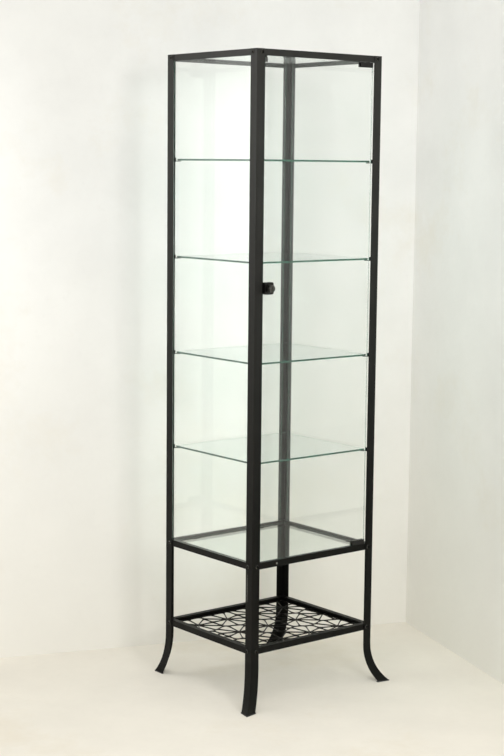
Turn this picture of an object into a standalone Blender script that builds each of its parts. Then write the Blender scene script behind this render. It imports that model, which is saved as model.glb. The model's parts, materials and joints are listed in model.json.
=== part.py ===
"""Glass display case: an angle-steel frame on flared legs, glass walls, four shelves and a door.

Metres, +Z up, the front faces -Y. The body is modelled round its own centre line, and an empty
carries it so that the middle of the feet's outer box lies at the origin.
"""
import math

import bmesh
import bpy
from mathutils import Vector

# Clearances that every piece shares
GAP = 0.0003
OVERRUN = 0.002
WELD = 0.001

# Frame: outer size, angle sections and the levels of the three rail frames
BODY_WIDTH = 0.450
BODY_DEPTH = 0.400
FRAME_TOP = 1.8055
MIDDLE_FRAME_TOP = 0.4132
LOWER_FRAME_TOP = 0.1735
POST_FLANGE = 0.027
POST_WALL = 0.002
RAIL_HEIGHT = 0.018
RAIL_FLANGE = 0.016
RAIL_WALL = 0.002

# Legs: where the bend starts, the outer edge's radius and the flare's direction
FRONT_BEND_START = 0.113
FRONT_BEND_RADIUS = 0.137
FRONT_FLARE_ANGLE = math.radians(40.8)
REAR_BEND_START = 0.1327
REAR_BEND_RADIUS = 0.185
REAR_FLARE_ANGLE = math.radians(90)
BEND_STEPS = 8
SOLE_THICKNESS = 0.003
SOLE_MARGIN = 0.0015

# Button-head screws that hold the rails to the posts
SCREW_INSET = 0.0175
SCREW_SHANK_RADIUS = 0.0025
SCREW_HEAD_RADIUS = 0.0058
SCREW_RIM_HEIGHT = 0.0008
SCREW_CROWN_RADIUS = 0.0042
SCREW_CROWN_HEIGHT = 0.0024
SCREW_HEAD_HEIGHT = 0.0028
SCREW_SOCKET_RADIUS = 0.0018
SCREW_SOCKET_DEPTH = 0.0014
SCREW_SIDES = 10

# Small screw in the front of the middle frame
RAIL_SCREW_X = -0.1355
RAIL_SCREW_HEAD_RADIUS = 0.003
RAIL_SCREW_HEAD_HEIGHT = 0.0016
RAIL_SCREW_SHANK_RADIUS = 0.0015

# Fixed glass
PLATE_GLASS = 0.005
PANEL_GLASS = 0.004
PANEL_OVERLAP = 0.005
PANEL_RISE = 0.006
PLATE_EDGE_GAP = 0.001
FLOOR_TAB_LIFT = 0.002
FLOOR_TAB_THICKNESS = 0.002
FLOOR_TAB_REACH = 0.012
FLOOR_TAB_WIDTH = 0.016
FLOOR_TAB_PLACE_share = 0.55

# Shelves and the supports in the posts' inner corners
SHELF_COUNT = 4
SHELF_ROOM_X = 0.021
SHELF_ROOM_Y = 0.022
SUPPORT_TIP = 0.0005
SUPPORT_STUD_RADIUS = 0.0025
SUPPORT_DISC_RADIUS = 0.00575
SUPPORT_DISC_THICKNESS = 0.005
SUPPORT_DISC_SETBACK = 0.004
SUPPORT_TONGUE_LENGTH = 0.014
SUPPORT_TONGUE_WIDTH = 0.0064
SUPPORT_TONGUE_HEIGHT = 0.0026
SUPPORT_SIDES = 10

# Openwork floor of the lower frame
GRILLE_THICKNESS = 0.003
GRILLE_LIFT = 0.0005
GRILLE_BORDER = 0.006
GRILLE_STRIP = 0.003
GRILLE_HUB = 0.0075
GRILLE_RING = 0.032
GRILLE_SHORTEST_EDGE = 0.0012
GRILLE_SMALLEST_SIDE = 0.006
GRILLE_TIP_CUT = 0.006
GRILLE_TIP_share = 0.6
PETALS = 9
FLOWERS_PER_ROW = (4, 5, 4)
FLOWER_COLUMNS = 4

# Door glass and its gaps to the frame
DOOR_GLASS = 0.005
DOOR_GAP_LEFT = 0.001
DOOR_GAP_RIGHT = 0.007
DOOR_GAP_TOP = 0.0035
DOOR_GAP_BOTTOM = 0.0038

# Hinges: clips on the glass, pins behind it
CLIP_WIDTH = 0.046
CLIP_HEIGHT = 0.014
CLIP_END_INSET = 0.001
CLIP_WEB = 0.0017
CLIP_FRONT_CHEEK = 0.0025
CLIP_REAR_CHEEK = 0.005
CLIP_SCREW_RADIUS = 0.0015
CLIP_SCREW_HEAD_RADIUS = 0.003
CLIP_SCREW_HEAD_HEIGHT = 0.0018
CLIP_SCREW_INSET = 0.007
CLIP_SCREW_PITCH = 0.013
HINGE_INSET = 0.011
HINGE_PIN_RADIUS = 0.002
HINGE_PIN_DEPTH = 0.010
HINGE_PIN_FOOT = 0.0025
HINGE_COLLAR_RADIUS = 0.0065
HINGE_LUG_WIDTH = 0.026
HINGE_LUG_DEPTH = 0.012
HINGE_LUG_THICKNESS = 0.004
PIN_SIDES = 12

# Lock on the door's free edge
LOCK_EDGE_INSET = 0.0125
LOCK_LEVEL = 1.1705
LOCK_WIDTH = 0.030
LOCK_HEIGHT = 0.033
LOCK_DEPTH = 0.012
LOCK_CORNER = 0.005
LOCK_CYLINDER_RADIUS = 0.010
LOCK_CYLINDER_PROUD = 0.0137
LOCK_CYLINDER_CHAMFER = 0.001
LOCK_BARREL_RADIUS = 0.0075
LOCK_BARREL_CLEARANCE = 0.0005
LOCK_STUB_RADIUS = 0.003
LOCK_BACKPLATE = 0.003
LOCK_BACKPLATE_MARGIN = 0.003
LOCK_BARREL_TAIL = 0.0012
LOCK_CAM_THICKNESS = 0.002
LOCK_CAM_HUB_RADIUS = 0.0075
LOCK_CAM_TIP_RADIUS = 0.005
LOCK_CAM_REACH = 0.023
LOCK_NUT_RADIUS = 0.0055
LOCK_NUT_THICKNESS = 0.0018
KEY_SLOT_WIDTH = 0.0016
KEY_SLOT_HEIGHT = 0.009
KEY_SLOT_DEPTH = 0.004
LOCK_SIDES = 24

# Door stop under the top frame
STOP_WIDTH = 0.010
STOP_EDGE_INSET = 0.007
STOP_WALL = 0.0015
STOP_DROP = 0.0165
STOP_SEAT_HEIGHT = 0.0055
STOP_BUMPER_RADIUS = 0.0048
STOP_BUMPER_THICKNESS = 0.0012

# Places that follow from the sizes above
HALF_WIDTH = BODY_WIDTH / 2
HALF_DEPTH = BODY_DEPTH / 2
RAIL_X = HALF_WIDTH - POST_WALL - GAP
RAIL_Y = HALF_DEPTH - POST_WALL - GAP
LEG_X = RAIL_X - RAIL_WALL
LEG_Y = RAIL_Y - RAIL_WALL
MITRE_SETBACK = GAP / math.sqrt(2)
LEG_END = SOLE_THICKNESS + GAP
TOP_RAIL_BOTTOM = FRAME_TOP - RAIL_HEIGHT
MIDDLE_RAIL_BOTTOM = MIDDLE_FRAME_TOP - RAIL_HEIGHT
LOWER_RAIL_BOTTOM = LOWER_FRAME_TOP - RAIL_HEIGHT
FRAME_LEVELS = {"top": FRAME_TOP, "middle": MIDDLE_FRAME_TOP, "lower": LOWER_FRAME_TOP}
SIDES = ("front", "rear", "left", "right")
CORNERS = {"front_left": (-1, -1), "front_right": (1, -1),
           "rear_left": (-1, 1), "rear_right": (1, 1)}

PANEL_BOTTOM = MIDDLE_FRAME_TOP + GAP
PANEL_TOP = TOP_RAIL_BOTTOM + PANEL_RISE
FLOOR_TAB_BOTTOM = MIDDLE_RAIL_BOTTOM + FLOOR_TAB_LIFT
FLOOR_GLASS_BOTTOM = FLOOR_TAB_BOTTOM + FLOOR_TAB_THICKNESS + GAP
SHELF_PITCH = (TOP_RAIL_BOTTOM - MIDDLE_FRAME_TOP) / (SHELF_COUNT + 1)
SHELF_X = HALF_WIDTH - SHELF_ROOM_X
SHELF_Y = HALF_DEPTH - SHELF_ROOM_Y
CORNER_ROOM = SHELF_ROOM_X - POST_WALL + SHELF_ROOM_Y - POST_WALL

DOOR_LEFT = -HALF_WIDTH + POST_FLANGE + DOOR_GAP_LEFT
DOOR_RIGHT = HALF_WIDTH - POST_FLANGE - DOOR_GAP_RIGHT
DOOR_BOTTOM = MIDDLE_FRAME_TOP + DOOR_GAP_BOTTOM
DOOR_TOP = TOP_RAIL_BOTTOM - DOOR_GAP_TOP
DOOR_FRONT = -HALF_DEPTH
DOOR_BACK = DOOR_FRONT + DOOR_GLASS

CLIP_RIGHT = DOOR_RIGHT - CLIP_END_INSET
CLIP_LEFT = CLIP_RIGHT - CLIP_WIDTH
CLIP_SLOT_FRONT = DOOR_FRONT - GAP
CLIP_SLOT_BACK = DOOR_BACK + GAP
CLIP_FRONT = CLIP_SLOT_FRONT - CLIP_FRONT_CHEEK
CLIP_BACK = CLIP_SLOT_BACK + CLIP_REAR_CHEEK
CLIP_TOP = DOOR_TOP + GAP + CLIP_WEB
CLIP_BOTTOM = DOOR_BOTTOM - GAP - CLIP_WEB
HINGE_X = DOOR_RIGHT - HINGE_INSET
HINGE_Y = CLIP_BACK - CLIP_REAR_CHEEK / 2

LOCK_X = DOOR_LEFT + LOCK_EDGE_INSET
LOCK_FRONT = DOOR_FRONT - GAP - LOCK_DEPTH
BACKPLATE_FRONT = DOOR_BACK + GAP
BARREL_END = BACKPLATE_FRONT + LOCK_BACKPLATE + LOCK_BARREL_TAIL
CAM_FRONT = BARREL_END + GAP
NUT_FRONT = CAM_FRONT + LOCK_CAM_THICKNESS + GAP
NUT_BACK = NUT_FRONT + LOCK_NUT_THICKNESS

# Faces that meet at less than this angle are shaded smooth
SMOOTH_ANGLE = math.radians(40)


# Ways to read an outline (a, b) at a place c along one axis

def along_x(a, b, c):
    return (c, a, b)


def along_y(a, b, c):
    return (a, c, b)


def along_z(a, b, c):
    return (a, b, c)


# Outlines

def circle(radius, sides, centre=(0, 0)):
    """Points round a circle."""
    angles = [math.tau * (i + 0.5) / sides for i in range(sides)]
    return [(centre[0] + radius * math.cos(a), centre[1] + radius * math.sin(a)) for a in angles]


def hole_radius(radius, sides):
    """Radius of a many-sided hole whose flats keep the gap round a pin."""
    return (radius + GAP) / math.cos(math.pi / sides)


def rectangle(low_a, low_b, high_a, high_b):
    return [(low_a, low_b), (high_a, low_b), (high_a, high_b), (low_a, high_b)]


def arc(centre, radius, start, end, steps):
    """Points along an arc, both ends included."""
    angles = [start + (end - start) * i / steps for i in range(steps + 1)]
    return [(centre[0] + radius * math.cos(a), centre[1] + radius * math.sin(a)) for a in angles]


def rounded_rectangle(centre, width, height, corner, steps=3):
    points = []
    for quarter, (side_a, side_b) in enumerate(((1, 1), (-1, 1), (-1, -1), (1, -1))):
        middle = (centre[0] + side_a * (width / 2 - corner), centre[1] + side_b * (height / 2 - corner))
        points += arc(middle, corner, math.pi / 2 * quarter, math.pi / 2 * (quarter + 1), steps)
    return points


def offset_outline(points, distance):
    """Move every side of a counter-clockwise outline outward by the distance."""
    moved = []
    for i, point in enumerate(points):
        here = Vector(point)
        before = (here - Vector(points[i - 1])).normalized()
        after = (Vector(points[(i + 1) % len(points)]) - here).normalized()
        normal_before = Vector((before.y, -before.x))
        normal_after = Vector((after.y, -after.x))
        mitre = (normal_before + normal_after) / (1 + normal_before.dot(normal_after))
        moved.append(tuple(here + mitre * distance))
    return moved


def angle_section(flange, wall):
    """Outline of an angle bar, measured inward from its outer corner."""
    return [(0, 0), (flange, 0), (flange, wall), (wall, wall), (wall, flange), (0, flange)]


# Solids

def add_loft(bm, rings):
    """Add a closed solid skinned over rings with equal numbers of points."""
    loops = [[bm.verts.new(point) for point in ring] for ring in rings]
    for below, above in zip(loops, loops[1:]):
        for i in range(len(below)):
            bm.faces.new((below[i - 1], below[i], above[i], above[i - 1]))
    bm.faces.new(loops[0])
    bm.faces.new(loops[-1])


def add_prism(bm, outline, low, high, along):
    """Add an outline pushed from low to high along one axis."""
    add_loft(bm, [[along(a, b, c) for a, b in outline] for c in (low, high)])


def add_box(bm, low, high):
    add_prism(bm, rectangle(low[0], low[1], high[0], high[1]), low[2], high[2], along_z)


def add_plate(bm, outline, holes, low, high, along):
    """Add a flat plate with holes between low and high along one axis."""
    lower_loops = []
    upper_of = {}
    for loop in (outline, *holes):
        lower = [bm.verts.new(along(a, b, low)) for a, b in loop]
        upper = [bm.verts.new(along(a, b, high)) for a, b in loop]
        upper_of.update(zip(lower, upper))
        lower_loops.append(lower)
    edges = [bm.edges.new((loop[i - 1], loop[i])) for loop in lower_loops for i in range(len(loop))]
    filled = bmesh.ops.triangle_fill(bm, use_beauty=True, edges=edges)
    triangles = [item for item in filled["geom"] if isinstance(item, bmesh.types.BMFace)]
    for triangle in triangles:
        bm.faces.new([upper_of[vert] for vert in reversed(triangle.verts)])
    for loop in lower_loops:
        for i in range(len(loop)):
            bm.faces.new((loop[i - 1], loop[i], upper_of[loop[i]], upper_of[loop[i - 1]]))


def add_turned(bm, profile, centre, axis, sides):
    """Add a turned solid from rings of (radius, distance along the axis)."""
    centre = Vector(centre)
    axis = Vector(axis)
    side = axis.orthogonal().normalized()
    up = axis.cross(side)
    rings = []
    for radius, distance in profile:
        rings.append([centre + axis * distance + side * a + up * b for a, b in circle(radius, sides)])
    add_loft(bm, rings)


def screw_profile(shank_radius, shank_length, head_radius, head_height):
    """A plain screw: shank below the head's seat, head above it."""
    return [(shank_radius, -shank_length), (shank_radius, 0), (head_radius, 0),
            (head_radius, head_height / 2), (shank_radius, head_height)]


# Materials and objects

def make_material(name, colour, roughness, metallic=0.0, alpha=1.0):
    material = bpy.data.materials.new(name)
    material.use_nodes = True
    shader = material.node_tree.nodes["Principled BSDF"]
    shader.inputs["Base Color"].default_value = (*colour, 1.0)
    shader.inputs["Roughness"].default_value = roughness
    shader.inputs["Metallic"].default_value = metallic
    shader.inputs["Alpha"].default_value = alpha
    return material


def black_steel(name):
    return make_material(name, (0.045, 0.043, 0.040), 0.42, 0.6)


def clear_glass(name):
    return make_material(name, (0.80, 0.90, 0.86), 0.05, 0.0, 0.35)


def black_rubber(name):
    return make_material(name, (0.02, 0.02, 0.02), 0.8)


def dark_fastener(name):
    return make_material(name, (0.03, 0.03, 0.03), 0.35, 0.8)


def bright_metal(name):
    return make_material(name, (0.62, 0.61, 0.59), 0.25, 1.0)


def make_empty(name, origin, parent=None):
    """An empty at a place of the body, under its parent empty."""
    empty = bpy.data.objects.new(name, None)
    bpy.context.collection.objects.link(empty)
    empty["origin"] = origin
    empty.location = origin
    if parent:
        empty.parent = parent
        empty.location = Vector(origin) - Vector(parent["origin"])
    return empty


def make_object(name, bm, material, parent, origin=(0, 0, 0)):
    """Turn a mesh given in the body's frame into an object with its own origin."""
    bmesh.ops.recalc_face_normals(bm, faces=bm.faces)
    bmesh.ops.translate(bm, verts=bm.verts, vec=-Vector(origin))
    mesh = bpy.data.meshes.new(name)
    bm.to_mesh(mesh)
    bm.free()
    mesh.materials.append(material(name))
    mesh.shade_smooth()
    mesh.set_sharp_from_angle(angle=SMOOTH_ANGLE)
    item = bpy.data.objects.new(name, mesh)
    bpy.context.collection.objects.link(item)
    item.parent = parent
    item.location = Vector(origin) - Vector(parent["origin"])
    return item


def make_tool(name, bm, parent):
    """A hidden object that only cuts others or is joined to them."""
    tool = make_object(name, bm, dark_fastener, parent)
    tool.display_type = "WIRE"
    tool.hide_render = True
    return tool


def combine(item, tool, operation):
    modifier = item.modifiers.new(tool.name, "BOOLEAN")
    modifier.operation = operation
    modifier.solver = "EXACT"
    modifier.object = tool


def cut(item, tool):
    combine(item, tool, "DIFFERENCE")


def join(item, tool):
    combine(item, tool, "UNION")


# Posts with flared legs and their soles

def bend_of(side_y):
    """Bend start, edge radius and flare angle of a front (-1) or rear (1) leg."""
    if side_y < 0:
        return FRONT_BEND_START, FRONT_BEND_RADIUS, FRONT_FLARE_ANGLE
    return REAR_BEND_START, REAR_BEND_RADIUS, REAR_FLARE_ANGLE


def leg_ring(side_y, turned_share):
    """Section of a leg after a share of its bend, as (inward x, inward y, level)."""
    start, edge_radius, flare = bend_of(side_y)
    ring = []
    for u, v in angle_section(POST_FLANGE, POST_WALL):
        radius = edge_radius + u * math.cos(flare) + v * math.sin(flare)
        angle = turned_share * math.asin((start - LEG_END) / radius)
        push = radius * (1 - math.cos(angle))
        level = start - radius * math.sin(angle)
        ring.append((u - push * math.cos(flare), v - push * math.sin(flare), level))
    return ring


def sole_outline(side_y):
    end = [(u, v) for u, v, level in leg_ring(side_y, 1)]
    return offset_outline(end, SOLE_MARGIN)


def from_corner(side_x, side_y, u, v):
    """Place of a point measured inward from a post's outer corner."""
    return side_x * (HALF_WIDTH - u), side_y * (HALF_DEPTH - v)


def make_post(name, side_x, side_y, root, screw_holes):
    bm = bmesh.new()
    rings = [[(u, v, FRAME_TOP) for u, v in angle_section(POST_FLANGE, POST_WALL)]]
    rings += [leg_ring(side_y, i / BEND_STEPS) for i in range(BEND_STEPS + 1)]
    add_loft(bm, [[(*from_corner(side_x, side_y, u, v), z) for u, v, z in ring] for ring in rings])
    origin = (side_x * HALF_WIDTH, side_y * HALF_DEPTH, 0)
    post = make_object("post_" + name, bm, black_steel, root, origin)
    cut(post, screw_holes)


def make_sole(name, side_x, side_y, root):
    bm = bmesh.new()
    outline = [from_corner(side_x, side_y, u, v) for u, v in sole_outline(side_y)]
    add_prism(bm, outline, 0, SOLE_THICKNESS, along_z)
    make_object("sole_" + name, bm, black_rubber, root, (*outline[0], 0))


# Rails of the three frames

def on_side(side, along, inward):
    """Place in plan at a distance along a rail and inward from its outer face."""
    sign = -1 if side in ("front", "left") else 1
    if side in ("front", "rear"):
        return along, sign * (RAIL_Y - inward)
    return sign * (RAIL_X - inward), along


def outward_of(side):
    return {"front": (0, -1, 0), "rear": (0, 1, 0), "left": (-1, 0, 0), "right": (1, 0, 0)}[side]


def half_length(side):
    """Half the case's outer size along a side."""
    return HALF_WIDTH if side in ("front", "rear") else HALF_DEPTH


def screw_seats(level, side):
    """Places of a rail's two screws on the posts' outer faces."""
    z = FRAME_LEVELS[level] - RAIL_HEIGHT / 2
    along = half_length(side) - SCREW_INSET
    return [(*on_side(side, end * along, -GAP - POST_WALL), z) for end in (-1, 1)]


def add_frame_screws(bm, level, side):
    """The rail's screws, from inside its wall through the posts to their heads."""
    shank = GAP + POST_WALL + GAP + RAIL_WALL / 2
    profile = [(SCREW_SHANK_RADIUS, -shank), (SCREW_SHANK_RADIUS, 0), (SCREW_HEAD_RADIUS, 0),
               (SCREW_HEAD_RADIUS, SCREW_RIM_HEIGHT), (SCREW_CROWN_RADIUS, SCREW_CROWN_HEIGHT),
               (SCREW_SOCKET_RADIUS, SCREW_HEAD_HEIGHT),
               (SCREW_SOCKET_RADIUS, SCREW_HEAD_HEIGHT - SCREW_SOCKET_DEPTH)]
    outward = outward_of(side)
    for seat in screw_seats(level, side):
        add_turned(bm, profile, Vector(seat) + Vector(outward) * GAP, outward, SCREW_SIDES)


def add_floor_tabs(bm, side):
    """Tabs welded inside a middle rail, which carry the floor glass."""
    half = FLOOR_TAB_WIDTH / 2
    for end in (-1, 1):
        along = end * FLOOR_TAB_PLACE_share * half_length(side)
        near = on_side(side, along - half, RAIL_WALL - WELD)
        far = on_side(side, along + half, RAIL_WALL + FLOOR_TAB_REACH)
        outline = rectangle(*map(min, near, far), *map(max, near, far))
        add_prism(bm, outline, FLOOR_TAB_BOTTOM, FLOOR_TAB_BOTTOM + FLOOR_TAB_THICKNESS, along_z)


def make_rail(level, side, root, cutters):
    bm = bmesh.new()
    top = FRAME_LEVELS[level]
    section = [(0, top), (RAIL_FLANGE, top), (RAIL_FLANGE, top - RAIL_WALL), (RAIL_WALL, top - RAIL_WALL),
               (RAIL_WALL, top - RAIL_HEIGHT), (0, top - RAIL_HEIGHT)]
    rail_end = half_length(side) - POST_WALL - GAP - MITRE_SETBACK
    add_loft(bm, [[(*on_side(side, end * (rail_end - inward), inward), z) for inward, z in section]
                  for end in (-1, 1)])
    rail = make_object(f"{level}_rail_{side}", bm, black_steel, root, (*on_side(side, 0, 0), top))
    for cutter in cutters:
        cut(rail, cutter)
    bm = bmesh.new()
    add_frame_screws(bm, level, side)
    if level == "middle":
        add_floor_tabs(bm, side)
    join(rail, make_tool(f"{level}_rail_{side}_fittings", bm, root))


# Screw holes in the posts, and the small screw in the front of the middle frame

def make_screw_holes(root):
    """One cutter with the hole of every frame screw."""
    bm = bmesh.new()
    radius = hole_radius(SCREW_SHANK_RADIUS, SCREW_SIDES)
    depth = POST_WALL + GAP
    for level in FRAME_LEVELS:
        for side in SIDES:
            for seat in screw_seats(level, side):
                reach = [(radius, -depth), (radius, OVERRUN)]
                add_turned(bm, reach, seat, outward_of(side), SCREW_SIDES)
    return make_tool("frame_screw_holes", bm, root)


def make_rail_screw(root):
    """The small bright screw in the front of the middle frame, with its hole's cutter."""
    seat = (RAIL_SCREW_X, -RAIL_Y - GAP, MIDDLE_FRAME_TOP - RAIL_HEIGHT / 2)
    bm = bmesh.new()
    profile = screw_profile(RAIL_SCREW_SHANK_RADIUS, RAIL_WALL + GAP, RAIL_SCREW_HEAD_RADIUS,
                            RAIL_SCREW_HEAD_HEIGHT)
    add_turned(bm, profile, seat, (0, -1, 0), SCREW_SIDES)
    make_object("front_rail_screw", bm, bright_metal, root, seat)
    bm = bmesh.new()
    radius = hole_radius(RAIL_SCREW_SHANK_RADIUS, SCREW_SIDES)
    add_turned(bm, [(radius, -RAIL_WALL - OVERRUN), (radius, OVERRUN)], seat, (0, -1, 0), SCREW_SIDES)
    return make_tool("rail_screw_hole", bm, root)


# Fixed glass

def make_glass_box(name, low, high, parent, origin):
    bm = bmesh.new()
    add_box(bm, low, high)
    make_object(name, bm, clear_glass, parent, origin)


def make_fixed_glass(root):
    plate_x = LEG_X - PLATE_EDGE_GAP
    plate_y = LEG_Y - PLATE_EDGE_GAP
    for name, bottom in (("floor_glass", FLOOR_GLASS_BOTTOM), ("top_glass", PANEL_TOP + GAP)):
        low = (-plate_x, -plate_y, bottom)
        make_glass_box(name, low, (plate_x, plate_y, bottom + PLATE_GLASS), root, (0, 0, bottom))

    outer_x = LEG_X - GAP
    half_y = HALF_DEPTH - POST_FLANGE + PANEL_OVERLAP
    for name, side in (("left_glass", -1), ("right_glass", 1)):
        faces = sorted((side * outer_x, side * (outer_x - PANEL_GLASS)))
        low = (faces[0], -half_y, PANEL_BOTTOM)
        make_glass_box(name, low, (faces[1], half_y, PANEL_TOP), root, (faces[0], 0, PANEL_BOTTOM))

    outer_y = LEG_Y - GAP
    half_x = HALF_WIDTH - POST_FLANGE + PANEL_OVERLAP
    low = (-half_x, outer_y - PANEL_GLASS, PANEL_BOTTOM)
    make_glass_box("rear_glass", low, (half_x, outer_y, PANEL_TOP), root, (0, outer_y, PANEL_BOTTOM))


# Shelves and their supports

def support_rings(side_x, side_y, level):
    """Rings of one support, from the post's inner corner along the diagonal to under the shelf."""
    corner = Vector((*from_corner(side_x, side_y, POST_WALL, POST_WALL), level))
    inward = Vector((-side_x, -side_y, 0)).normalized()
    sideways = Vector((-inward.y, inward.x, 0))
    disc_end = CORNER_ROOM / math.sqrt(2) - SUPPORT_DISC_SETBACK
    disc_start = disc_end - SUPPORT_DISC_THICKNESS
    tip = GAP * math.sqrt(2) + SUPPORT_TIP
    tongue = SUPPORT_TONGUE_WIDTH / 2, SUPPORT_TONGUE_HEIGHT / 2
    drop = PLATE_GLASS / 2 + GAP + SUPPORT_TONGUE_HEIGHT / 2
    stud = SUPPORT_STUD_RADIUS
    disc = SUPPORT_DISC_RADIUS
    stations = [(tip, SUPPORT_TIP, stud, 0), (tip + stud, stud, stud, 0), (disc_start, stud, stud, 0),
                (disc_start, disc, disc, 0), (disc_end, disc, disc, 0), (disc_end, *tongue, drop),
                (disc_end + SUPPORT_TONGUE_LENGTH, *tongue, drop)]
    rings = []
    for distance, half_width, half_height, lowered in stations:
        middle = corner + inward * distance - Vector((0, 0, lowered))
        rings.append([middle + sideways * a * half_width + Vector((0, 0, b * half_height))
                      for a, b in circle(1, SUPPORT_SIDES)])
    return rings


def make_shelf(number, root):
    level = MIDDLE_FRAME_TOP + SHELF_PITCH * number
    low = (-SHELF_X, -SHELF_Y, level - PLATE_GLASS / 2)
    high = (SHELF_X, SHELF_Y, level + PLATE_GLASS / 2)
    make_glass_box(f"shelf_{number}", low, high, root, (0, 0, level))
    for corner, (side_x, side_y) in CORNERS.items():
        bm = bmesh.new()
        add_loft(bm, support_rings(side_x, side_y, level))
        origin = (*from_corner(side_x, side_y, POST_WALL, POST_WALL), level)
        make_object(f"shelf_{number}_support_{corner}", bm, dark_fastener, root, origin)


# Openwork grille of flowers

def clip_outline(points, anchor, normal):
    """Keep the part of a convex outline on the side that the normal points to."""
    kept = []
    for i, point in enumerate(points):
        here = Vector(point)
        before = Vector(points[i - 1])
        depth = (here - anchor).dot(normal)
        depth_before = (before - anchor).dot(normal)
        if depth * depth_before < 0:
            kept.append(tuple(before.lerp(here, depth_before / (depth_before - depth))))
        if depth >= 0:
            kept.append(point)
    return kept


def drop_short_edges(points):
    """Leave out points that lie almost on the one before them."""
    return [point for i, point in enumerate(points)
            if (Vector(point) - Vector(points[i - 1])).length > GRILLE_SHORTEST_EDGE]


def flower_centres(width, depth):
    """Centres of a staggered pattern; the longer rows end in half flowers at the border."""
    centres = []
    for row, count in enumerate(FLOWERS_PER_ROW):
        y = depth * ((row + 0.5) / len(FLOWERS_PER_ROW) - 0.5)
        for column in range(count):
            x = width / FLOWER_COLUMNS * (column - (count - 1) / 2)
            centres.append(Vector((x, y)))
    return centres


def round_tip(points, centre):
    """Cut the corners of a petal's outer end, so that its tip is round."""
    reach = max((Vector(point) - centre).length for point in points)
    rounded = []
    for i, point in enumerate(points):
        here = Vector(point)
        if (here - centre).length < GRILLE_TIP_share * reach:
            rounded.append(point)
            continue
        for neighbour in (points[i - 1], points[(i + 1) % len(points)]):
            side = Vector(neighbour) - here
            rounded.append(tuple(here + side.normalized() * min(GRILLE_TIP_CUT, side.length / 3)))
    return rounded


def petal_holes(half_x, half_y):
    """Cells round the flower centres, each narrowed so that strips stay between them."""
    sites = []
    for number, centre in enumerate(flower_centres(2 * half_x, 2 * half_y)):
        for petal in range(PETALS):
            angle = math.tau * (petal + number % 2 / 2) / PETALS
            outward = Vector((math.cos(angle), math.sin(angle)))
            sites.append((centre, outward, centre + outward * GRILLE_RING))
    holes = []
    for centre, outward, site in sites:
        outline = rectangle(-half_x, -half_y, half_x, half_y)
        outline = clip_outline(outline, centre + outward * GRILLE_HUB, outward)
        for other in [item[2] for item in sites if item[2] != site]:
            if len(outline) > 2:
                towards = (site - other).normalized()
                anchor = (site + other) / 2 + towards * GRILLE_STRIP / 2
                outline = clip_outline(outline, anchor, towards)
        outline = drop_short_edges(outline)
        if len(outline) > 2:
            spans = [max(p[k] for p in outline) - min(p[k] for p in outline) for k in (0, 1)]
            if min(spans) > GRILLE_SMALLEST_SIDE:
                holes.append(round_tip(outline, centre))
    return holes


def make_grille(root):
    bm = bmesh.new()
    outer_x = LEG_X - GAP
    outer_y = LEG_Y - GAP
    bottom = LOWER_RAIL_BOTTOM + GRILLE_LIFT
    outline = rectangle(-outer_x, -outer_y, outer_x, outer_y)
    holes = petal_holes(outer_x - GRILLE_BORDER, outer_y - GRILLE_BORDER)
    add_plate(bm, outline, holes, bottom, bottom + GRILLE_THICKNESS, along_z)
    make_object("grille", bm, black_steel, root, (0, 0, bottom))


# Door glass

def make_door_glass(door):
    bm = bmesh.new()
    outline = rectangle(DOOR_LEFT, DOOR_BOTTOM, DOOR_RIGHT, DOOR_TOP)
    hole = circle(LOCK_BARREL_RADIUS + LOCK_BARREL_CLEARANCE, LOCK_SIDES, (LOCK_X, LOCK_LEVEL))
    add_plate(bm, outline, [hole], DOOR_FRONT, DOOR_BACK, along_y)
    make_object("door_glass", bm, clear_glass, door, door["origin"])


# Hinges

def clip_levels(end):
    """Outer, slot and inner levels of the top (1) or bottom (-1) clip."""
    outer = CLIP_TOP if end > 0 else CLIP_BOTTOM
    return outer, outer - end * CLIP_WEB, outer - end * CLIP_HEIGHT


def pin_levels(end):
    """Inner and outer ends of a hinge pin."""
    outer = clip_levels(end)[0]
    if end > 0:
        return outer - HINGE_PIN_DEPTH, TOP_RAIL_BOTTOM + HINGE_LUG_THICKNESS
    return outer + HINGE_PIN_DEPTH, MIDDLE_FRAME_TOP - RAIL_WALL - HINGE_PIN_FOOT


def make_hinge_holes(root):
    """One cutter with the holes of both pins."""
    bm = bmesh.new()
    radius = hole_radius(HINGE_PIN_RADIUS, PIN_SIDES)
    for end in (-1, 1):
        inner, outer = pin_levels(end)
        reach = [(radius, inner - end * GAP), (radius, outer + end * GAP)]
        add_turned(bm, reach, (HINGE_X, HINGE_Y, 0), (0, 0, 1), PIN_SIDES)
    return make_tool("hinge_holes", bm, root)


def make_clip(name, end, door, holes):
    bm = bmesh.new()
    outer, slot, inner = clip_levels(end)
    outline = [(CLIP_FRONT, outer), (CLIP_BACK, outer), (CLIP_BACK, inner), (CLIP_SLOT_BACK, inner),
               (CLIP_SLOT_BACK, slot), (CLIP_SLOT_FRONT, slot), (CLIP_SLOT_FRONT, inner),
               (CLIP_FRONT, inner)]
    add_prism(bm, outline, CLIP_LEFT, CLIP_RIGHT, along_x)
    clip = make_object(name, bm, black_steel, door, (HINGE_X, HINGE_Y, outer))
    cut(clip, holes)
    bm = bmesh.new()
    profile = screw_profile(CLIP_SCREW_RADIUS, CLIP_REAR_CHEEK / 2, CLIP_SCREW_HEAD_RADIUS,
                            CLIP_SCREW_HEAD_HEIGHT)
    for i in (0, 1):
        seat = (CLIP_LEFT + CLIP_SCREW_INSET + CLIP_SCREW_PITCH * i, CLIP_BACK, (slot + inner) / 2)
        add_turned(bm, profile, seat, (0, 1, 0), SCREW_SIDES)
    join(clip, make_tool(name + "_screws", bm, door))


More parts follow.
